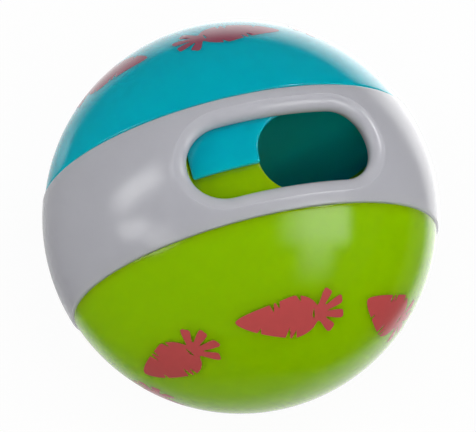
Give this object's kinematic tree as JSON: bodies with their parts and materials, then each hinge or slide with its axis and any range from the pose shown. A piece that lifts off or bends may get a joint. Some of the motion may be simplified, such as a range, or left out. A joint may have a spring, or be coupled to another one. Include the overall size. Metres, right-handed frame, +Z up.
{
  "type": "treat dispensing ball",
  "caption": "Hollow ball of two push-fit half shells with a turning ring between them, whose slot opens or closes a window to let treats fall out.",
  "frame": {"origin": "where the ring touches the floor, straight below the ball's centre", "axes": "+Z up, +Y along the ball's axis from the green half to the blue half, +X across it"},
  "size_m": [0.0706, 0.07, 0.0694],
  "materials": {
    "blue_polypropylene": "moulded, glossy",
    "green_polypropylene": "moulded, glossy",
    "grey_polypropylene": "moulded, satin gloss"
  },
  "bodies": {
    "green_half": {"green_half_shell": "green_polypropylene"},
    "blue_half": {"blue_half_shell": "blue_polypropylene"},
    "ring": {"adjusting_ring": "grey_polypropylene"}
  },
  "joints": [
    {"name": "ring_turn", "type": "hinge", "parent": "green_half", "child": "ring", "pos_m": [0, 0, 0.0353], "axis": [0, 1, 0], "continuous": true},
    {"name": "halves_apart", "type": "slide", "parent": "green_half", "child": "blue_half", "axis": [0, 1, 0], "range_m": [0, 0.03]}
  ]
}
